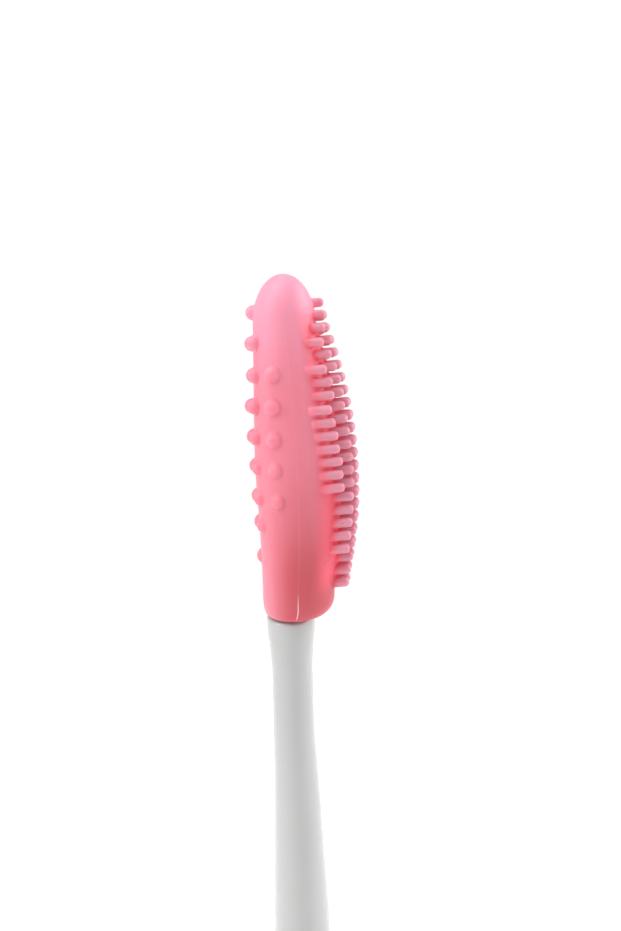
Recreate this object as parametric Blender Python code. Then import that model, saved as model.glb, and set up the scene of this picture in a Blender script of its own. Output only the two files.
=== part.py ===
"""Finger toothbrush for pets: a silicone brush sleeve that pulls off an oval plastic handle.

The brush stands upright, in metres: the origin is the middle of the handle's flat butt, +Z runs
up the handle to the sleeve's domed tip, -Y is the bristle side and +Y is the massaging-nub side.
"""

import math

import bmesh
import bpy
from mathutils import Vector

MM = 0.001

# Driving dimensions, in millimetres.
MOUTH_Z = 96.0             # the sleeve's open end, above the handle's butt
DOME_HEIGHT = 7.8          # the elliptical end of the sleeve
RIM_HEIGHT = 2.5           # how far the mouth's rounded edge runs up the sleeve
RIM_INSETS = (0.6, 2.1, 0.9)   # how far that edge pulls in: nub side, bristle side, flanks
COLLAR_Z = 95.6            # the handle's shoulder, just under the sleeve's mouth
SPIGOT_TIP_Z = 143.5
SOCKET_GAP = 0.3           # between the spigot and the sleeve's socket

# The sleeve's outside: height above its mouth, nub side, bristle side, half width.
SLEEVE_SECTIONS = (
    (0.0, 4.40, 7.05, 5.8),
    (4.0, 4.40, 7.25, 6.1),
    (11.0, 4.50, 8.15, 6.6),
    (17.0, 4.75, 8.70, 6.9),
    (23.0, 5.05, 8.80, 7.0),
    (29.0, 5.05, 8.50, 7.0),
    (35.0, 4.95, 7.75, 6.9),
    (41.0, 4.85, 6.60, 6.7),
    (46.5, 4.75, 5.30, 6.3),
)

# The handle below its shoulder: height, nub side, bristle side, half width.
HANDLE_SECTIONS = (
    (1.6, 4.00, 4.00, 5.2),
    (12.0, 4.25, 4.55, 5.8),
    (28.0, 4.30, 5.00, 6.2),
    (45.0, 4.10, 4.90, 6.0),
    (60.0, 3.65, 4.20, 5.1),
    (69.5, 3.40, 3.74, 4.5),
    (76.5, 3.34, 3.34, 4.15),
    (83.0, 3.30, 3.30, 4.05),
    (88.0, 3.35, 3.35, 4.1),
    (91.0, 3.60, 3.60, 4.35),
    (93.5, 3.86, 3.86, 4.6),
    (95.1, 3.86, 3.86, 4.6),
)
BUTT_ROUNDING = 1.6
SHOULDER_ROUNDING = 0.5
SPIGOT_ROOT = (2.9, 3.7)   # half depth and half width where it leaves the shoulder
SPIGOT_END = (2.5, 3.3)
SPIGOT_NOSE = 3.0          # length of its rounded end

BRISTLE_PITCH = 2.02
BRISTLE_TOP_Z = 49.5       # the topmost bristle, above the mouth
BRISTLE_RADIUS = (0.82, 0.76)  # at the root and at the tip
BRISTLE_SIDES = 6
BRISTLE_EMBED = 0.9        # how deep a bristle's root runs into the body
# Row by row from the top: bristles on each side of the middle one, and how far across the last stands.
BRISTLE_ROWS = (
    (0, 0.0), (1, 1.9), (2, 3.6), (2, 5.0), (2, 4.25), (3, 5.7), (3, 5.35), (3, 5.55),
    (3, 6.1), (3, 5.95), (3, 5.85), (3, 5.8), (3, 5.6), (3, 5.6), (3, 5.5),
    (2, 3.9), (2, 3.9), (2, 3.9), (2, 3.9), (2, 3.9), (1, 2.0), (1, 2.0), (1, 2.0),
)
ROW_BOW = 0.024            # each row bows down by this much times the square of the place across
BRISTLE_REACHES = ((4.0, 2.4), (13.0, 2.8), (26.0, 2.85), (40.0, 2.45), (50.0, 1.8))  # height, length

NUB_ROWS = (
    (48.2, 1, 1.30),
    (43.2, 3, 1.45),
    (38.1, 5, 1.25),
    (33.2, 5, 1.50),
    (28.3, 5, 1.25),
    (23.6, 5, 0.95),
    (18.8, 5, 0.95),
    (14.6, 3, 0.85),
    (9.1, 1, 0.75),
)                          # height above the mouth, nubs in the row, how far they stand out
NUB_SPACING = 3.05
NUB_RADIUS = 1.25
NUB_SIDES = 7

BODY_SIDES = 36
SOCKET_SIDES = 24
HANDLE_STEPS = 20


def clear_scene():
    for item in list(bpy.data.objects):
        bpy.data.objects.remove(item, do_unlink=True)


def smooth_value(stations, z, column):
    """A smooth curve through one column of the section stations."""
    z = min(max(z, stations[0][0]), stations[-1][0])
    last = len(stations) - 1
    i = max(k for k in range(last) if stations[k][0] <= z)

    def slope(k):
        low, high = stations[max(k - 1, 0)], stations[min(k + 1, last)]
        return (high[column] - low[column]) / (high[0] - low[0])

    span = stations[i + 1][0] - stations[i][0]
    t = (z - stations[i][0]) / span
    start, end = stations[i][column], stations[i + 1][column]
    return (
        (2 * t**3 - 3 * t**2 + 1) * start
        + (t**3 - 2 * t**2 + t) * span * slope(i)
        + (3 * t**2 - 2 * t**3) * end
        + (t**3 - t**2) * span * slope(i + 1)
    )


def oval(z, nub_side, bristle_side, half_width, sides):
    """A ring of points around Z. The first point is on the bristle side, which faces -Y."""
    middle = (nub_side - bristle_side) / 2
    depth = (nub_side + bristle_side) / 2
    turns = [2 * math.pi * k / sides for k in range(sides)]
    return [Vector((half_width * math.sin(a), middle - depth * math.cos(a), z)) * MM for a in turns]


def loft(name, rings):
    """A closed mesh object through the rings, lowest ring first, with flat ends."""
    mesh = bpy.data.meshes.new(name)
    bm = bmesh.new()
    loops = [[bm.verts.new(point) for point in ring] for ring in rings]
    for lower, upper in zip(loops, loops[1:]):
        for k in range(len(lower)):
            j = (k + 1) % len(lower)
            bm.faces.new((lower[k], lower[j], upper[j], upper[k]))
    bm.faces.new(list(reversed(loops[0])))
    bm.faces.new(loops[-1])
    bm.to_mesh(mesh)
    bm.free()
    thing = bpy.data.objects.new(name, mesh)
    bpy.context.collection.objects.link(thing)
    return thing


def material(name, colour, roughness):
    finish = bpy.data.materials.new(name)
    finish.use_nodes = True
    shader = finish.node_tree.nodes["Principled BSDF"]
    shader.inputs["Base Color"].default_value = (*colour, 1.0)
    shader.inputs["Roughness"].default_value = roughness
    shader.inputs["Metallic"].default_value = 0.0
    return finish


def shade_round(thing, sharp_degrees):
    thing.data.shade_smooth()
    thing.data.set_sharp_from_angle(angle=math.radians(sharp_degrees))


def sleeve_section(z):
    """Nub side, bristle side and half width of the sleeve, at a height above its mouth."""
    dome_start = SLEEVE_SECTIONS[-1][0]
    nub_side, bristle_side, half_width = (smooth_value(SLEEVE_SECTIONS, z, c) for c in (1, 2, 3))
    if z > dome_start:
        share = math.sqrt(max(0.0, 1 - ((z - dome_start) / DOME_HEIGHT) ** 2))
        middle = (bristle_side - nub_side) / 2
        depth = (bristle_side + nub_side) / 2 * share
        return depth - middle, depth + middle, half_width * share
    if z < RIM_HEIGHT:
        pull = 1 - math.sqrt(max(0.0, 1 - (1 - z / RIM_HEIGHT) ** 2))
        nub_side -= RIM_INSETS[0] * pull
        bristle_side -= RIM_INSETS[1] * pull
        half_width -= RIM_INSETS[2] * pull
    return nub_side, bristle_side, half_width


def sleeve_heights():
    """Ring heights: close together on the rounded rim and on the dome."""
    rim = [RIM_HEIGHT * (1 - math.cos(math.pi / 2 * k / 4)) for k in range(5)]
    dome_start = SLEEVE_SECTIONS[-1][0]
    straight = [RIM_HEIGHT + (dome_start - RIM_HEIGHT) * k / 16 for k in range(1, 17)]
    dome = [dome_start + DOME_HEIGHT * math.sin(math.radians(a)) for a in (15, 30, 44, 57, 69, 80)]
    return rim + straight + dome


def surface_point(z, across, side):
    """The sleeve's surface at a height and a place across it; side is -1 for bristles, 1 for nubs."""
    nub_side, bristle_side, half_width = sleeve_section(z)
    middle = (nub_side - bristle_side) / 2
    depth = (nub_side + bristle_side) / 2
    rise = math.sqrt(max(0.0, 1 - (across / half_width) ** 2))
    point = Vector((across, middle + side * depth * rise, z))
    outward = Vector((across / half_width**2, side * rise / depth, 0)).normalized()
    return point, outward


def stud(bm, root, direction, profile, sides):
    """A closed round stud, as (distance along the direction, radius) pairs from its root."""
    across = direction.cross(Vector((0, 0, 1))).normalized()
    up = across.cross(direction)
    loops = []
    for along, radius in profile:
        turns = [2 * math.pi * k / sides for k in range(sides)]
        points = [root + direction * along + (across * math.cos(a) + up * math.sin(a)) * radius for a in turns]
        loops.append([bm.verts.new(point * MM) for point in points])
    for lower, upper in zip(loops, loops[1:]):
        for k in range(sides):
            j = (k + 1) % sides
            bm.faces.new((lower[k], upper[k], upper[j], lower[j]))
    bm.faces.new(loops[0])
    bm.faces.new(list(reversed(loops[-1])))


def guide_object(name, bm):
    """A helper shape for a Boolean, which isn't a part of its own."""
    bmesh.ops.recalc_face_normals(bm, faces=bm.faces)
    mesh = bpy.data.meshes.new(name)
    bm.to_mesh(mesh)
    bm.free()
    guide = bpy.data.objects.new(name, mesh)
    bpy.context.collection.objects.link(guide)
    mark_as_guide(guide)
    return guide


def mark_as_guide(guide):
    guide.hide_render = True
    guide.display_type = "WIRE"


def bristle_reach(z):
    """Bristles are shortest at the tip of the sleeve and longest at its belly."""
    return smooth_value(BRISTLE_REACHES, z, 1)


def bristle_guide():
    bm = bmesh.new()
    forward = Vector((0, -1, 0))
    thick, thin = BRISTLE_RADIUS
    for row, (side_columns, edge) in enumerate(BRISTLE_ROWS):
        level = BRISTLE_TOP_Z - row * BRISTLE_PITCH
        for column in range(-side_columns, side_columns + 1):
            across = edge * column / max(side_columns, 1)
            root, _ = surface_point(level - ROW_BOW * across**2, across, -1)
            stud(bm, root, forward, ((-BRISTLE_EMBED, thick), (bristle_reach(level), thin)), BRISTLE_SIDES)
    return guide_object("bristle_guide", bm)


def nub_guide():
    bm = bmesh.new()
    for z, count, height in NUB_ROWS:
        for k in range(count):
            root, outward = surface_point(z, (k - (count - 1) / 2) * NUB_SPACING, 1)
            profile = ((-0.8, NUB_RADIUS), (height * 0.5, NUB_RADIUS * 0.88), (height, NUB_RADIUS * 0.4))
            stud(bm, root, outward, profile, NUB_SIDES)
    return guide_object("nub_guide", bm)


def spigot_rings(gap, base_z, sides):
    """The spigot's rounded oval, or with a gap the socket that it fills, above base_z."""
    root_z = COLLAR_Z
    nose_z = SPIGOT_TIP_Z - SPIGOT_NOSE
    rings = []
    for z in (root_z - (1.0 if gap else 0.0), nose_z):
        share = (z - root_z) / (nose_z - root_z)
        depth, width = (SPIGOT_ROOT[i] + (SPIGOT_END[i] - SPIGOT_ROOT[i]) * share + gap for i in (0, 1))
        rings.append(oval(z - base_z, depth, depth, width, sides))
    for degrees in (30, 55, 75):
        shrink = math.cos(math.radians(degrees))
        rise = (SPIGOT_NOSE + gap) * math.sin(math.radians(degrees))
        depth, width = ((SPIGOT_END[i] + gap) * shrink for i in (0, 1))
        rings.append(oval(nose_z + rise - base_z, depth, depth, width, sides))
    return rings


def make_handle():
    """Grip, neck, shoulder and spigot in one moulding."""
    rings = []
    _, nub_side, bristle_side, half_width = HANDLE_SECTIONS[0]
    for degrees in (0, 30, 60):
        rise = BUTT_ROUNDING * (1 - math.cos(math.radians(degrees)))
        inset = BUTT_ROUNDING * (1 - math.sin(math.radians(degrees)))
        rings.append(oval(rise, nub_side - inset, bristle_side - inset, half_width - inset, BODY_SIDES))
    top_z = HANDLE_SECTIONS[-1][0]
    for k in range(HANDLE_STEPS + 1):
        z = HANDLE_SECTIONS[0][0] + (top_z - HANDLE_SECTIONS[0][0]) * k / HANDLE_STEPS
        rings.append(oval(z, *(smooth_value(HANDLE_SECTIONS, z, c) for c in (1, 2, 3)), BODY_SIDES))
    _, nub_side, bristle_side, half_width = HANDLE_SECTIONS[-1]
    for degrees in (30, 60, 90):
        rise = SHOULDER_ROUNDING * math.sin(math.radians(degrees))
        inset = SHOULDER_ROUNDING * (1 - math.cos(math.radians(degrees)))
        rings.append(oval(top_z + rise, nub_side - inset, bristle_side - inset, half_width - inset, BODY_SIDES))
    rings += spigot_rings(0.0, 0.0, BODY_SIDES)
    handle = loft("handle", rings)
    handle.data.materials.append(material("handle_plastic", (0.62, 0.63, 0.63), 0.25))
    shade_round(handle, 40)
    return handle


def make_sleeve():
    """One silicone moulding: a finger-shaped body with bristles, nubs and a blind socket."""
    rings = [oval(z, *sleeve_section(z), BODY_SIDES) for z in sleeve_heights()]
    sleeve = loft("brush_sleeve", rings)
    sleeve.location = (0, 0, MOUTH_Z * MM)
    socket = loft("socket_cutter", spigot_rings(SOCKET_GAP, MOUTH_Z, SOCKET_SIDES))
    mark_as_guide(socket)
    steps = ((bristle_guide(), "UNION"), (nub_guide(), "UNION"), (socket, "DIFFERENCE"))
    for guide, operation in steps:
        guide.location = sleeve.location
        cut = sleeve.modifiers.new(guide.name, "BOOLEAN")
        cut.operation = operation
        cut.object = guide
        cut.solver = "EXACT"
    sleeve.data.materials.append(material("sleeve_silicone", (0.94, 0.33, 0.40), 0.35))
    shade_round(sleeve, 40)
    return sleeve


def main():
    clear_scene()
    make_handle()
    make_sleeve()


main()
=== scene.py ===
# %% [markdown]
# # A silicone finger toothbrush on its handle
# This lesson builds the visible surface of a small pet-grooming tool: a pink silicone brush sleeve,
# cast in one piece with its bristles and massaging nubs, pushed onto a slim moulded plastic handle.
# A plain working model of both pieces is loaded first. Everything made here sits in the same place.

# %% Load the working model
import math

import bpy
import numpy as np
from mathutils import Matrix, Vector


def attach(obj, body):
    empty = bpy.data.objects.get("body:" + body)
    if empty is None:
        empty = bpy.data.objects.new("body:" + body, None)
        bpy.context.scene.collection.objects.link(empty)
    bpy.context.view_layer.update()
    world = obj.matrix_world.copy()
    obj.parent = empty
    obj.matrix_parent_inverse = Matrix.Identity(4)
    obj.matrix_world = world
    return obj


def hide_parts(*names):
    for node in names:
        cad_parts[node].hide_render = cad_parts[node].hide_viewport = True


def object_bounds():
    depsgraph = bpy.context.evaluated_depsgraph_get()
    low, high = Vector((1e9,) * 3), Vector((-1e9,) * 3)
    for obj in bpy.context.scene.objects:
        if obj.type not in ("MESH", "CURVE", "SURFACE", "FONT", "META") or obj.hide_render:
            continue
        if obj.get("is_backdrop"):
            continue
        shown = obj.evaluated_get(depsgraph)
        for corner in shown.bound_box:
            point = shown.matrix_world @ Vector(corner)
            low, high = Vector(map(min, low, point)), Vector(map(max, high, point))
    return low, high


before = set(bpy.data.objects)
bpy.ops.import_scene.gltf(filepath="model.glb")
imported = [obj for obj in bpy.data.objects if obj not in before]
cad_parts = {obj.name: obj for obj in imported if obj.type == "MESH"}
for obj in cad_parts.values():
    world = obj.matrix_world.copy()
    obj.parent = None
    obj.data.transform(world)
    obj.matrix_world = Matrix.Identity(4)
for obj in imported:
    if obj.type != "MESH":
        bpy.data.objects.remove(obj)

MM = 0.001
cad_box = [list(corner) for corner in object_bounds()]
print("working model, mm:", [[round(value / MM, 1) for value in corner] for corner in cad_box])

# %% [markdown]
# ## Small helpers
# Paint and plastic colours are usually quoted as sRGB hex values, while the shader works in linear
# light, so one function does that change. A second function adds one node with its settings and links.

# %% Colour and node helpers
def linear(hex_colour):
    """An sRGB hex colour such as "#F59AAE" as linear red, green, blue and alpha."""
    channels = [int(hex_colour[i:i + 2], 16) / 255 for i in (1, 3, 5)]
    return (*[c / 12.92 if c <= 0.04045 else ((c + 0.055) / 1.055) ** 2.4 for c in channels], 1.0)


def add_node(tree, kind, settings=None, values=None, links=None):
    """Adds one node: settings are its properties, values and links go to its inputs by name or number."""
    node = tree.nodes.new(kind)
    for name, value in (settings or {}).items():
        setattr(node, name, value)
    for name, value in (values or {}).items():
        node.inputs[name].default_value = value
    for name, socket in (links or {}).items():
        tree.links.new(socket, node.inputs[name])
    return node


def new_material(name):
    """An empty material with its shader and output joined, and the tree to add nodes to."""
    finish = bpy.data.materials.new(name)
    finish.use_nodes = True
    tree = finish.node_tree
    return finish, tree, tree.nodes["Principled BSDF"]


print("plain white in linear light:", linear("#FFFFFF"))

# %% [markdown]
# ## The studio
# A small glossy product on white is lit from a large soft source overhead, a little to one side, so
# that the floor turns white while upright faces keep their modelling. A uniform white world alone
# would flatten the silicone, so the world lights the object less than it shows behind it.

# %% Floor, world and lights
FLOOR_RADIUS = 3.0
SHADOW_ZONE = (0.10, 0.50)   # metres from the brush between which the floor fades to plain white


def make_floor():
    bpy.ops.mesh.primitive_circle_add(vertices=96, radius=FLOOR_RADIUS, fill_type="NGON")
    floor = bpy.context.object
    floor.name = "studio_floor"
    finish, tree, shader = new_material("matt_white_paper")
    shader.inputs["Base Color"].default_value = linear("#F7F7F6")
    shader.inputs["Roughness"].default_value = 0.9
    shader.inputs["Specular IOR Level"].default_value = 0.2
    place = add_node(tree, "ShaderNodeTexCoord")
    away = add_node(tree, "ShaderNodeVectorMath", {"operation": "LENGTH"}, links={0: place.outputs["Object"]})
    fade = add_node(
        tree, "ShaderNodeMapRange", {"interpolation_type": "SMOOTHSTEP"},
        {"From Min": SHADOW_ZONE[0], "From Max": SHADOW_ZONE[1]}, {"Value": away.outputs["Value"]},
    )
    glow = add_node(tree, "ShaderNodeEmission", values={"Color": (1, 1, 1, 1), "Strength": 1.0})
    blend = add_node(
        tree, "ShaderNodeMixShader",
        links={0: fade.outputs["Result"], 1: shader.outputs["BSDF"], 2: glow.outputs["Emission"]},
    )
    tree.links.new(blend.outputs["Shader"], tree.nodes["Material Output"].inputs["Surface"])
    floor.data.materials.append(finish)
    floor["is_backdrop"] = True


def make_world(light_level):
    world = bpy.data.worlds.new("white_studio")
    world.use_nodes = True
    tree = world.node_tree
    tree.nodes.clear()
    ray = add_node(tree, "ShaderNodeLightPath")
    ambient = add_node(tree, "ShaderNodeBackground", values={"Color": (1, 1, 1, 1), "Strength": light_level})
    backdrop = add_node(tree, "ShaderNodeBackground", values={"Color": (1, 1, 1, 1), "Strength": 1.0})
    blend = add_node(
        tree, "ShaderNodeMixShader",
        links={0: ray.outputs["Is Camera Ray"], 1: ambient.outputs[0], 2: backdrop.outputs[0]},
    )
    add_node(tree, "ShaderNodeOutputWorld", links={"Surface": blend.outputs["Shader"]})
    bpy.context.scene.world = world


def add_softbox(name, place, aim, size, power):
    """A square area light at a place, pointed at another, in metres and watts."""
    lamp = bpy.data.lights.new(name, "AREA")
    lamp.shape = "SQUARE"
    lamp.size = size
    lamp.energy = power
    holder = bpy.data.objects.new(name, lamp)
    holder.location = place
    direction = holder.location - type(holder.location)(aim)
    holder.rotation_euler = direction.to_track_quat("Z", "Y").to_euler()
    bpy.context.collection.objects.link(holder)


make_floor()
make_world(light_level=0.42)
add_softbox("overhead_softbox", (-0.20, 0.30, 0.95), (0, 0, 0.08), 0.9, 7.0)
add_softbox("nub_side_softbox", (-0.22, 0.62, 0.40), (0, 0, 0.10), 0.45, 1.9)
add_softbox("bristle_side_fill", (0.12, -0.62, 0.42), (0, 0, 0.13), 0.6, 3.9)
bpy.context.scene.view_settings.view_transform = "Standard"

# %% [markdown]
# ## The camera
# The brush is seen square from its side, with the bristles to the right, from about ten centimetres
# away. It leans a little, so the camera is rolled by the same angle and the brush stays upright.

# %% Camera
CAMERA_DISTANCE = 105 * MM
EYE_HEIGHT = 134.7 * MM
EYE_SIDEWAYS = -4.3 * MM      # the eye stands a little to the bristle side
VIEW_SHIFT = -0.1026         # how far the frame slides down, as a share of its longer side
SCALE_ON_AXIS = 6.2          # frame units per millimetre at the brush's own axis
FRAME_HIGH = 931
LEAN = math.radians(1.66)


def make_camera():
    lens = bpy.data.cameras.new("side_view")
    lens.sensor_fit = "AUTO"
    lens.sensor_width = 36.0
    lens.lens = SCALE_ON_AXIS * CAMERA_DISTANCE / MM / FRAME_HIGH * lens.sensor_width
    lens.shift_x = 0.0
    lens.shift_y = VIEW_SHIFT
    lens.clip_start = 0.005
    lens.clip_end = 20.0
    camera = bpy.data.objects.new("side_view", lens)
    camera.location = (-CAMERA_DISTANCE, EYE_SIDEWAYS, EYE_HEIGHT)
    camera.rotation_euler = (math.pi / 2, LEAN, -math.pi / 2)
    camera.rotation_mode = "XYZ"
    bpy.context.collection.objects.link(camera)
    bpy.context.scene.camera = camera
    return camera


camera = make_camera()
print("lens, mm:", round(camera.data.lens, 2))

# %% [markdown]
# ## Lofting oval sections
# Both pieces are ovals stacked along one axis, so one loft serves both. Each station gives a height
# and three sizes in millimetres: how far the oval reaches to the nub side, to the bristle side and
# to the flanks. A cubic curve runs through the stations, as a fairing batten would.

# %% Sections and loft
def fair(stations, z, column):
    """A smooth curve through one column of the stations, at each height z."""
    table = np.array(stations, dtype=float)
    knots, values = table[:, 0], table[:, column]
    slopes = np.gradient(values, knots)
    z = np.clip(np.asarray(z, dtype=float), knots[0], knots[-1])
    i = np.clip(np.searchsorted(knots, z, side="right") - 1, 0, len(knots) - 2)
    span = knots[i + 1] - knots[i]
    t = (z - knots[i]) / span
    return (
        (2 * t**3 - 3 * t**2 + 1) * values[i]
        + (t**3 - 2 * t**2 + t) * span * slopes[i]
        + (3 * t**2 - 2 * t**3) * values[i + 1]
        + (t**3 - t**2) * span * slopes[i + 1]
    )


def oval(z, nub_side, bristle_side, half_width, sides):
    """A ring of points round the upright axis, in millimetres, starting on the bristle side."""
    turn = 2 * math.pi * np.arange(sides) / sides
    middle, depth = (nub_side - bristle_side) / 2, (nub_side + bristle_side) / 2
    return np.stack([half_width * np.sin(turn), middle - depth * np.cos(turn), np.full(sides, z)], axis=1)


def loft_arrays(rings):
    """Points and faces of a closed skin over the rings, in order, with flat ends."""
    sides = len(rings[0])
    points = np.concatenate(rings)
    faces = []
    for k in range(len(rings) - 1):
        for j in range(sides):
            n = (j + 1) % sides
            faces.append((k * sides + j, k * sides + n, (k + 1) * sides + n, (k + 1) * sides + j))
    last = (len(rings) - 1) * sides
    faces.append(tuple(range(sides - 1, -1, -1)))
    faces.append(tuple(range(last, last + sides)))
    return points, faces


def object_from_arrays(name, points, faces):
    mesh = bpy.data.meshes.new(name)
    mesh.from_pydata((np.asarray(points) * MM).tolist(), [], faces)
    mesh.update()
    thing = bpy.data.objects.new(name, mesh)
    bpy.context.collection.objects.link(thing)
    return thing


def store(thing, name, values):
    """Keeps one number for each point of the mesh, for a material to read."""
    field = thing.data.attributes.new(name, "FLOAT", "POINT")
    field.data.foreach_set("value", np.asarray(values, dtype=np.float32))


print("an oval's first point, mm:", oval(10.0, 4.0, 5.0, 6.0, 12)[0].round(2))

# %% [markdown]
# ## The handle
# The handle is one injection moulding: a rounded butt, an oval grip, a slim neck, a rounded shoulder
# and the spigot that the sleeve grips. It could be cut from a cylinder, but the oval changes all the
# way up, so it is lofted. The mould's parting line runs up the middle of its nub side and its
# bristle side as a hairline witness.

# %% Handle sections
MOUTH_Z = 96.0
SHOULDER_Z = 95.6
SPIGOT_TIP_Z = 143.5
SPIGOT_ROOT = (2.9, 3.7)     # half depth, half width
SPIGOT_END = (2.5, 3.3)
SPIGOT_NOSE = 3.0
HANDLE_SECTIONS = (
    (1.6, 4.00, 4.00, 5.2),
    (12.0, 4.25, 4.55, 5.8),
    (28.0, 4.30, 5.00, 6.2),
    (45.0, 4.10, 4.90, 6.0),
    (60.0, 3.65, 4.20, 5.1),
    (69.5, 3.40, 3.74, 4.5),
    (76.5, 3.34, 3.34, 4.15),
    (83.0, 3.30, 3.30, 4.05),
    (88.0, 3.35, 3.35, 4.1),
    (91.0, 3.60, 3.60, 4.35),
    (93.5, 3.86, 3.86, 4.6),
    (95.1, 3.86, 3.86, 4.6),
)
BUTT_ROUNDING = 1.6
SHOULDER_ROUNDING = 0.5
HANDLE_SIDES = 96
HANDLE_RINGS = 150           # rings from the butt to the shoulder
BUTT_INSETS = (3.4, 2.6)     # two rings inside the flat butt


def spigot_rings(gap, foot_z, sides):
    """The spigot's tapered oval from foot_z up to its rounded end, or its socket if there is a gap."""
    nose_z = SPIGOT_TIP_Z - SPIGOT_NOSE
    rings = []
    for z in np.linspace(foot_z, nose_z, 24):
        share = (z - SHOULDER_Z) / (nose_z - SHOULDER_Z)
        depth, width = (a + (b - a) * share + gap for a, b in zip(SPIGOT_ROOT, SPIGOT_END))
        rings.append(oval(z, depth, depth, width, sides))
    for angle in np.radians(np.arange(10, 90, 10)):
        depth, width = ((size + gap) * math.cos(angle) for size in SPIGOT_END)
        rings.append(oval(nose_z + (SPIGOT_NOSE + gap) * math.sin(angle), depth, depth, width, sides))
    return rings


def handle_rings():
    rings = []
    _, nub_side, bristle_side, half_width = HANDLE_SECTIONS[0]
    for inset in BUTT_INSETS:
        rings.append(oval(0.0, nub_side - inset, bristle_side - inset, half_width - inset, HANDLE_SIDES))
    for angle in np.radians(np.arange(0, 90, 9)):
        inset = BUTT_ROUNDING * (1 - math.sin(angle))
        rise = BUTT_ROUNDING * (1 - math.cos(angle))
        rings.append(oval(rise, nub_side - inset, bristle_side - inset, half_width - inset, HANDLE_SIDES))
    low, high = HANDLE_SECTIONS[0][0], HANDLE_SECTIONS[-1][0]
    for z in np.linspace(low, high, HANDLE_RINGS):
        rings.append(oval(z, *(float(fair(HANDLE_SECTIONS, z, c)) for c in (1, 2, 3)), HANDLE_SIDES))
    _, nub_side, bristle_side, half_width = HANDLE_SECTIONS[-1]
    for angle in np.radians(np.arange(9, 91, 9)):
        inset = SHOULDER_ROUNDING * (1 - math.cos(angle))
        rise = SHOULDER_ROUNDING * math.sin(angle)
        sizes = (nub_side - inset, bristle_side - inset, half_width - inset)
        rings.append(oval(high + rise, *sizes, HANDLE_SIDES))
    return rings + spigot_rings(0.0, SHOULDER_Z, HANDLE_SIDES)


handle = object_from_arrays("moulded_handle", *loft_arrays(handle_rings()))
handle.data.shade_smooth()
handle.data.set_sharp_from_angle(angle=math.radians(50))
handle_points = np.array([v.co for v in handle.data.vertices]) / MM
store(handle, "from_parting_mm", handle_points[:, 0])
print("handle faces:", len(handle.data.polygons))

# %% [markdown]
# ### Glossy white ABS
# A cheap grooming handle is ABS or polypropylene from a polished mould: white with a little grey,
# a clear but soft gloss, and the faint waviness that a thick section gets as it shrinks.

# %% Handle material
def glossy_white_abs():
    finish, tree, shader = new_material("glossy_white_abs")
    shader.inputs["IOR"].default_value = 1.53
    shader.inputs["Coat Weight"].default_value = 0.4
    shader.inputs["Coat Roughness"].default_value = 0.08
    shader.inputs["Subsurface Weight"].default_value = 0.15
    shader.inputs["Subsurface Radius"].default_value = (1.0, 0.95, 0.9)
    shader.inputs["Subsurface Scale"].default_value = 1.0 * MM
    place = add_node(tree, "ShaderNodeTexCoord")
    cloud = add_node(
        tree, "ShaderNodeTexNoise", values={"Scale": 1 / (9 * MM), "Detail": 2.0, "Roughness": 0.5},
        links={"Vector": place.outputs["Object"]},
    )
    tint = add_node(
        tree, "ShaderNodeMix", {"data_type": "RGBA"},
        {"A": linear("#B5B5B5"), "B": linear("#BDBDBD")}, {"Factor": cloud.outputs["Fac"]},
    )
    tree.links.new(tint.outputs["Result"], shader.inputs["Base Color"])
    gloss = add_node(
        tree, "ShaderNodeMapRange", values={"To Min": 0.14, "To Max": 0.22},
        links={"Value": cloud.outputs["Fac"]},
    )
    tree.links.new(gloss.outputs["Result"], shader.inputs["Roughness"])
    sink = add_node(tree, "ShaderNodeBump", values={"Strength": 0.15, "Distance": 0.05 * MM},
                    links={"Height": cloud.outputs["Fac"]})
    parting = add_node(tree, "ShaderNodeAttribute", {"attribute_name": "from_parting_mm"})
    off_line = add_node(tree, "ShaderNodeMath", {"operation": "ABSOLUTE"}, links={0: parting.outputs["Fac"]})
    witness = add_node(
        tree, "ShaderNodeMapRange", {"interpolation_type": "SMOOTHSTEP"},
        {"From Min": 0.05, "From Max": 0.14, "To Min": 1.0, "To Max": 0.0},
        {"Value": off_line.outputs["Value"]},
    )
    ridge = add_node(
        tree, "ShaderNodeBump", values={"Strength": 0.5, "Distance": 0.05 * MM},
        links={"Height": witness.outputs["Result"], "Normal": sink.outputs["Normal"]},
    )
    tree.links.new(ridge.outputs["Normal"], shader.inputs["Normal"])
    return finish


handle.data.materials.append(glossy_white_abs())
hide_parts("handle")
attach(handle, "handle_body")
print("handle finish:", handle.data.materials[0].name)

# %% [markdown]
# ## The sleeve's body
# The sleeve is a cup: a finger-shaped outside with a domed end, a rounded lip, and a blind oval
# socket inside. One skin runs up the inside of the socket, round the lip and over the dome.

# %% Sleeve sections
DOME_HEIGHT = 7.8
RIM_HEIGHT = 2.5
RIM_INSETS = (0.6, 2.1, 0.9)
SOCKET_GAP = 0.3
SLEEVE_SECTIONS = (
    (0.0, 4.40, 7.05, 5.8),
    (4.0, 4.40, 7.25, 6.1),
    (11.0, 4.50, 8.15, 6.6),
    (17.0, 4.75, 8.70, 6.9),
    (23.0, 5.05, 8.80, 7.0),
    (29.0, 5.05, 8.50, 7.0),
    (35.0, 4.95, 7.75, 6.9),
    (41.0, 4.85, 6.60, 6.7),
    (46.5, 4.75, 5.30, 6.3),
)
DOME_START = SLEEVE_SECTIONS[-1][0]


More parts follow.
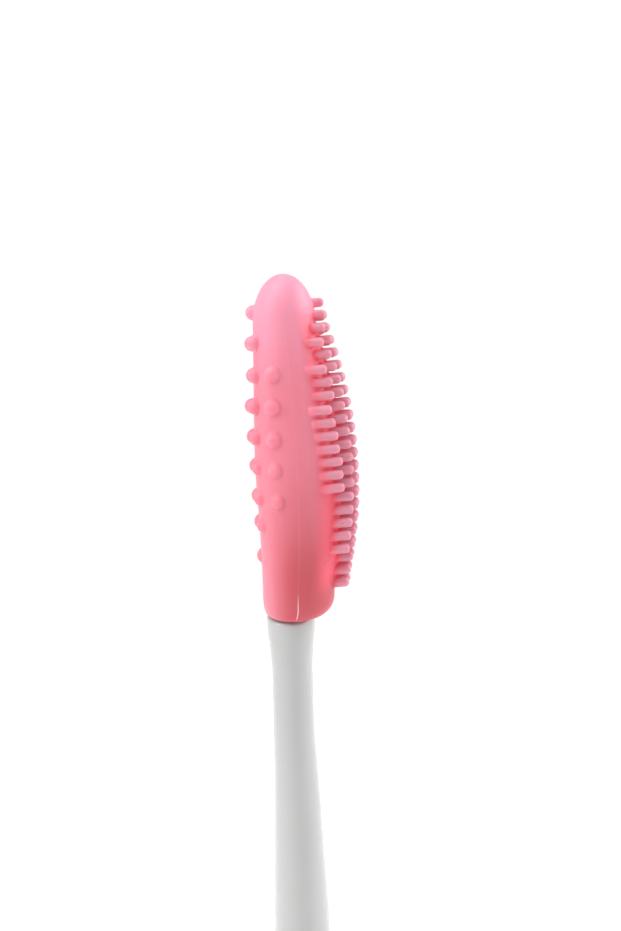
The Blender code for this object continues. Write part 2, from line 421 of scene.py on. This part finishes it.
def sleeve_section(z):
    """Middle, half depth and half width of the sleeve's oval at heights above its mouth."""
    z = np.asarray(z, dtype=float)
    nub_side, bristle_side, half_width = (fair(SLEEVE_SECTIONS, z, c) for c in (1, 2, 3))
    pull = 1 - np.sqrt(np.clip(1 - np.clip(1 - z / RIM_HEIGHT, 0, 1) ** 2, 0, 1))
    nub_side, bristle_side, half_width = (
        size - inset * pull for size, inset in zip((nub_side, bristle_side, half_width), RIM_INSETS)
    )
    middle = (nub_side - bristle_side) / 2
    share = np.sqrt(np.clip(1 - (np.clip(z - DOME_START, 0, None) / DOME_HEIGHT) ** 2, 0, 1))
    return middle, (nub_side + bristle_side) / 2 * share, half_width * share


def cup_rings(sides):
    inside = spigot_rings(SOCKET_GAP, MOUTH_Z, sides)[::-1]
    rim = RIM_HEIGHT * (1 - np.cos(np.linspace(0, math.pi / 2, 12)))
    wall = np.linspace(RIM_HEIGHT, DOME_START, 80)[1:]
    dome = DOME_START + DOME_HEIGHT * np.sin(np.radians(np.append(np.arange(5, 90, 5), 88)))
    outside = []
    for z in np.concatenate([rim, wall, dome]):
        middle, depth, half_width = (float(size) for size in sleeve_section(z))
        outside.append(oval(z + MOUTH_Z, depth + middle, depth - middle, half_width, sides))
    return inside + outside


cup_points, cup_faces = loft_arrays(cup_rings(120))
print("cup points:", len(cup_points))

# %% [markdown]
# ## Bristles and nubs
# The two halves of the mould part to the front and the back, so every bristle points straight out of
# the front half and leans a little towards the tip. Each is a short round peg, a touch wider at its
# root, with a rounded end. The nubs at the back are parts of balls. The nubs stand in straight rows
# across the sleeve, and the bristle rows bow down a little at the sides.

# %% Bristles and nubs
BRISTLE_PITCH = 2.02
BRISTLE_TOP_Z = 49.5
BRISTLE_RISE = math.radians(3.0)
# Row by row from the top: bristles on each side of the middle one, and how far across the last stands.
BRISTLE_ROWS = (
    (0, 0.0), (1, 1.9), (2, 3.6), (2, 5.0), (2, 4.25), (3, 5.7), (3, 5.35), (3, 5.55),
    (3, 6.1), (3, 5.95), (3, 5.85), (3, 5.8), (3, 5.6), (3, 5.6), (3, 5.5),
    (2, 3.9), (2, 3.9), (2, 3.9), (2, 3.9), (2, 3.9), (1, 2.0), (1, 2.0), (1, 2.0),
)
ROW_BOW = 0.024              # each row bows down by this much times the square of the place across
BRISTLE_REACHES = ((4.0, 2.4), (13.0, 2.8), (26.0, 2.85), (40.0, 2.45), (50.0, 1.8))
# Nub rows: height above the mouth, nubs in the row, how far they stand out.
NUB_ROWS = (
    (48.2, 1, 1.30),
    (43.2, 3, 1.45),
    (38.1, 5, 1.25),
    (33.2, 5, 1.50),
    (28.3, 5, 1.25),
    (23.6, 5, 0.95),
    (18.8, 5, 0.95),
    (14.6, 3, 0.85),
    (9.1, 1, 0.75),
)
NUB_SPACING = 3.05
NUB_RADIUS = 1.25
NUB_EMBED = 0.6              # how deep a nub's root runs into the body, whose wall there is 1.3 mm or more


def surface_point(z, across, side):
    """A point on the sleeve and its outward direction; side is -1 for bristles and 1 for nubs."""
    middle, depth, half_width = (float(size) for size in sleeve_section(z))
    rise = math.sqrt(max(0.0, 1 - (across / half_width) ** 2))
    outward = np.array([across / half_width**2, side * rise / depth, 0.0])
    return np.array([across, middle + side * depth * rise, z + MOUTH_Z]), outward / np.linalg.norm(outward)


def turned(root, direction, profile, sides):
    """A closed turned shape, its profile given as (distance along the direction, radius) pairs."""
    across = np.cross(direction, (0.0, 0.0, 1.0))
    across /= np.linalg.norm(across)
    up = np.cross(across, direction)
    turn = 2 * math.pi * np.arange(sides) / sides
    circle = np.outer(np.cos(turn), across) - np.outer(np.sin(turn), up)
    return loft_arrays([root + direction * along + circle * radius for along, radius in profile])


def bristle_profile(reach):
    flare = ((-0.8, 0.80), (0.0, 0.79), (0.4, 0.76), (1.0, 0.76))
    cap = 0.66
    end_radius = 0.76
    rounding = [
        (reach - cap * (1 - math.sin(a)), end_radius * math.cos(a) ** 0.8)
        for a in np.radians(np.arange(0, 86, 17))
    ]
    return [*flare, *rounding]


def all_bristles():
    forward = np.array([0.0, -math.cos(BRISTLE_RISE), math.sin(BRISTLE_RISE)])
    for row, (side_columns, edge) in enumerate(BRISTLE_ROWS):
        level = BRISTLE_TOP_Z - row * BRISTLE_PITCH
        reach = float(fair(BRISTLE_REACHES, level, 1))
        for column in range(-side_columns, side_columns + 1):
            across = edge * column / max(side_columns, 1)
            root, _ = surface_point(level - ROW_BOW * across**2, across, -1)
            yield turned(root, forward, bristle_profile(reach), 20)


def all_nubs():
    for z, count, height in NUB_ROWS:
        for k in range(count):
            root, outward = surface_point(z, (k - (count - 1) / 2) * NUB_SPACING, 1)
            root_angle = math.asin(max(-1.0, (NUB_RADIUS - height - NUB_EMBED) / NUB_RADIUS))
            angles = np.linspace(root_angle, math.radians(88), 16)
            profile = [
                (height - NUB_RADIUS + NUB_RADIUS * math.sin(a), NUB_RADIUS * math.cos(a)) for a in angles
            ]
            yield turned(root, outward, profile, 24)


studs = [*all_bristles(), *all_nubs()]
print("bristles and nubs:", len(studs))

# %% [markdown]
# ## One skin over everything
# On the real sleeve the roots run into the body without a seam, because they are cast together. A
# Boolean union would leave hard creases there. Remeshing the whole set on a fine grid joins it into
# one even skin, and a light relaxing pass rounds the roots as the mould-maker's cutter did. The flat
# stretches need far fewer faces than the bristles, so the skin is thinned out where it hardly bends.
# A coarse grid can bridge two neighbouring bristles. Each bridge changes the count of points, edges
# and faces of a closed skin, so the number of bridges is worked out and has to be none.

# %% Remesh
VOXEL = 0.15
KEPT_FACES = 0.32            # share of the faces that stay after thinning out


def joined(parts):
    points, faces, start = [], [], 0
    for part_points, part_faces in parts:
        points.append(part_points)
        faces.extend(tuple(start + corner for corner in face) for face in part_faces)
        start += len(part_points)
    return np.concatenate(points), faces


def settled(thing):
    """Replaces an object's mesh by its evaluated one, with every modifier in it."""
    bpy.context.view_layer.update()
    depsgraph = bpy.context.evaluated_depsgraph_get()
    mesh = bpy.data.meshes.new_from_object(thing.evaluated_get(depsgraph))
    thing.modifiers.clear()
    thing.data = mesh


sleeve = object_from_arrays("silicone_sleeve", *joined([(cup_points, cup_faces), *studs]))
grid = sleeve.modifiers.new("even_skin", "REMESH")
grid.mode = "VOXEL"
grid.voxel_size = VOXEL * MM
relax = sleeve.modifiers.new("relax", "SMOOTH")
relax.factor = 0.5
relax.iterations = 6
thin_out = sleeve.modifiers.new("thin_out", "DECIMATE")
thin_out.ratio = KEPT_FACES
settled(sleeve)
sleeve.data.shade_smooth()
mesh = sleeve.data
bridges = 1 - (len(mesh.vertices) - len(mesh.edges) + len(mesh.polygons)) // 2
print("sleeve faces:", len(mesh.polygons), "bridges between bristles:", bridges)

# %% [markdown]
# ### What the material needs to know
# Clear-dyed silicone looks pale where it is thin, as in the nubs and the bristles, and deep where it lies
# thick round the spigot. The colour also carries painted light: towards the dome it is painted paler,
# partly its own tone and partly the top lit from above, and low on the bristle side it is painted deeper,
# partly thick silicone and partly painted shade. Between the bristle roots it is painted reddest of all,
# as painted shade for the light that goes back and forth in the gaps. Each point of the skin keeps its
# share of each, and its distance from the parting line.

# %% Fields on the sleeve
# How deep the colour is at heights above the mouth: partly silicone lying thick round the spigot, partly
# painted shade low down, away from the overhead light.
DEPTH_AND_SHADE_BY_HEIGHT = ((2.0, 0.9), (7.0, 0.95), (10.0, 0.85), (17.0, 0.42), (25.0, 0.08), (34.0, 0.0))
# Heights above the mouth between which each tint comes in, or goes out again, painted light and painted shade
# among them.
DOME_PALE_AND_LIT = (34.0, 50.0)
ROOT_SHADE_COMES_IN = (3.0, 7.0)
ROOT_SHADE_GOES_OUT = (44.0, 50.0)
FLASH_HIGHLIGHT_STARTS = (0.2, 1.0)
FLASH_HIGHLIGHT_ENDS = (3.4, 4.6)
OUT_OF_ROOT = (0.2, 1.2)     # how far a bristle stands out where its root colour gives way to its own
skin = np.empty(len(sleeve.data.vertices) * 3)
sleeve.data.vertices.foreach_get("co", skin)
skin = skin.reshape(-1, 3) / MM
height = skin[:, 2] - MOUTH_Z
middle, depth, half_width = sleeve_section(height)
spread = np.hypot(skin[:, 0] / np.maximum(half_width, 0.2), (skin[:, 1] - middle) / np.maximum(depth, 0.2))
stand_out = (spread - 1) * np.hypot(skin[:, 0], skin[:, 1] - middle) / np.maximum(spread, 0.1)
front = middle - skin[:, 1]
toward_front = front / np.maximum(depth, 0.2)


def ramp(values, start, end):
    """0 up to start, 1 from end on, and smooth between."""
    share = np.clip((values - start) / (end - start), 0, 1)
    return share * share * (3 - 2 * share)


levels, shares = zip(*DEPTH_AND_SHADE_BY_HEIGHT)
# Partly painted shade: deeper coral low down on the bristle side and flanks, where the silicone lies thick
# round the spigot and where shade falls away from the key light on the nub side.
deep_and_shaded = np.interp(height, levels, shares) * ramp(toward_front, -1.0, -0.1)
deep_and_shaded *= 1 - 0.6 * ramp(stand_out, 0.1, 0.8)
# Painted shade: a deeper red between the bristle roots on the front, standing in for the shade that falls in
# the gaps between them, fading out up each bristle.
painted_root_shade = ramp(toward_front, 0.3, 0.75) * ramp(height, *ROOT_SHADE_COMES_IN) * (1 - ramp(height, *ROOT_SHADE_GOES_OUT))
# Partly painted light: paler towards the dome, the silicone's own paler tone there plus the top painted as if
# lit by the overhead softbox.
store(sleeve, "dome_pale_and_lit_share", ramp(height, *DOME_PALE_AND_LIT))
store(sleeve, "deep_and_shade_share", deep_and_shaded)
store(sleeve, "root_shade_share", painted_root_shade * (1 - ramp(stand_out, *OUT_OF_ROOT)))
store(sleeve, "bristle_share", ramp(toward_front, 0.2, 0.6) * ramp(stand_out, *OUT_OF_ROOT))
store(sleeve, "seam_mm", front)
# Where the painted highlight on the parting line is strongest: just above the mouth.
store(sleeve, "flash_highlight_share", ramp(height, *FLASH_HIGHLIGHT_STARTS) * (1 - ramp(height, *FLASH_HIGHLIGHT_ENDS)))
print("tallest stud, mm:", round(float(stand_out.max()), 2))

# %% [markdown]
# ### Pink platinum silicone
# Food-grade silicone is a soft translucent rubber. Dyed pink, it scatters light several millimetres
# deep, red furthest, so shadows turn a warm coral and thin bristles turn pale. Its skin comes from a
# finely blasted mould, so the shine is broad and weak. The parting line is painted as a pale hairline,
# a painted highlight on the raised flash that is brightest just above the mouth, and a few dark specks
# lie in the rubber.

# %% Sleeve material
def pink_platinum_silicone():
    finish, tree, shader = new_material("pink_platinum_silicone")
    shader.inputs["IOR"].default_value = 1.41
    shader.inputs["Subsurface Weight"].default_value = 0.85
    shader.inputs["Subsurface Radius"].default_value = (1.0, 0.38, 0.34)
    shader.inputs["Subsurface Scale"].default_value = 2.2 * MM
    place = add_node(tree, "ShaderNodeTexCoord")
    drawn_out = add_node(
        tree, "ShaderNodeVectorMath", {"operation": "MULTIPLY"}, {1: (1.0, 1.0, 0.08)},
        {0: place.outputs["Object"]},
    )
    cloud = add_node(
        tree, "ShaderNodeTexNoise", values={"Scale": 1 / (2.5 * MM), "Detail": 2.0, "Roughness": 0.5},
        links={"Vector": drawn_out.outputs["Vector"]},
    )
    body = add_node(
        tree, "ShaderNodeMix", {"data_type": "RGBA"},
        {"A": linear("#E68294"), "B": linear("#EE92A4")}, {"Factor": cloud.outputs["Fac"]},
    )
    colour = body
    # Tints laid over the body colour: the dome tint is partly painted light on the top, the deep coral is
    # partly painted shade low on the bristle side, the root red is painted shade between the bristle roots,
    # and the bristle tint is the bristles' own colour.
    tints = {
        "dome_pale_and_lit_share": "#EE9CB4", "deep_and_shade_share": "#CB5560",
        "root_shade_share": "#F0667A", "bristle_share": "#D394A6",
    }
    for field, tint in tints.items():
        share = add_node(tree, "ShaderNodeAttribute", {"attribute_name": field})
        colour = add_node(
            tree, "ShaderNodeMix", {"data_type": "RGBA"}, {"B": linear(tint)},
            {"Factor": share.outputs["Fac"], "A": colour.outputs["Result"]},
        )
    seam = add_node(tree, "ShaderNodeAttribute", {"attribute_name": "seam_mm"})
    off_seam = add_node(tree, "ShaderNodeMath", {"operation": "ABSOLUTE"}, links={0: seam.outputs["Fac"]})
    witness = add_node(
        tree, "ShaderNodeMapRange", {"interpolation_type": "SMOOTHSTEP"},
        {"From Min": 0.03, "From Max": 0.13, "To Min": 1.0, "To Max": 0.0},
        {"Value": off_seam.outputs["Value"]},
    )
    # Painted highlight: the parting line is mixed towards a pale pink, faintly along its length and most just
    # above the mouth, standing in for the glint on the raised flash.
    highlight_near_mouth = add_node(tree, "ShaderNodeAttribute", {"attribute_name": "flash_highlight_share"})
    seam_level = add_node(
        tree, "ShaderNodeMapRange", values={"To Min": 0.05, "To Max": 0.8},
        links={"Value": highlight_near_mouth.outputs["Fac"]},
    )
    seam_highlight = add_node(
        tree, "ShaderNodeMath", {"operation": "MULTIPLY"},
        links={0: witness.outputs["Result"], 1: seam_level.outputs["Result"]},
    )
    lined = add_node(
        tree, "ShaderNodeMix", {"data_type": "RGBA"}, {"B": linear("#FBDCE2")},
        {"Factor": seam_highlight.outputs["Value"], "A": colour.outputs["Result"]},
    )
    grit = add_node(
        tree, "ShaderNodeTexVoronoi", values={"Scale": 1 / (4 * MM)},
        links={"Vector": place.outputs["Object"]},
    )
    speck = add_node(
        tree, "ShaderNodeMapRange", values={"From Min": 0.02, "From Max": 0.03, "To Min": 0.7, "To Max": 0.0},
        links={"Value": grit.outputs["Distance"]},
    )
    flecked = add_node(
        tree, "ShaderNodeMix", {"data_type": "RGBA"}, {"B": linear("#7A3038")},
        {"Factor": speck.outputs["Result"], "A": lined.outputs["Result"]},
    )
    tree.links.new(flecked.outputs["Result"], shader.inputs["Base Color"])
    gloss = add_node(
        tree, "ShaderNodeMapRange", values={"To Min": 0.36, "To Max": 0.48},
        links={"Value": cloud.outputs["Fac"]},
    )
    tree.links.new(gloss.outputs["Result"], shader.inputs["Roughness"])
    blast = add_node(
        tree, "ShaderNodeTexNoise", values={"Scale": 1 / (0.25 * MM), "Detail": 3.0, "Roughness": 0.6},
        links={"Vector": place.outputs["Object"]},
    )
    grain = add_node(tree, "ShaderNodeBump", values={"Strength": 0.12, "Distance": 0.02 * MM},
                     links={"Height": blast.outputs["Fac"]})
    ridge = add_node(
        tree, "ShaderNodeBump", values={"Strength": 0.3, "Distance": 0.05 * MM},
        links={"Height": witness.outputs["Result"], "Normal": grain.outputs["Normal"]},
    )
    tree.links.new(ridge.outputs["Normal"], shader.inputs["Normal"])
    return finish


sleeve.data.materials.clear()
sleeve.data.materials.append(pink_platinum_silicone())
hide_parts("brush_sleeve")
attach(sleeve, "sleeve_body")
print("sleeve finish:", sleeve.data.materials[0].name)

# %% Sizes and finish
look_box = [list(corner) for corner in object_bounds()]
print("visual model, mm:", [[round(value / MM, 1) for value in corner] for corner in look_box])
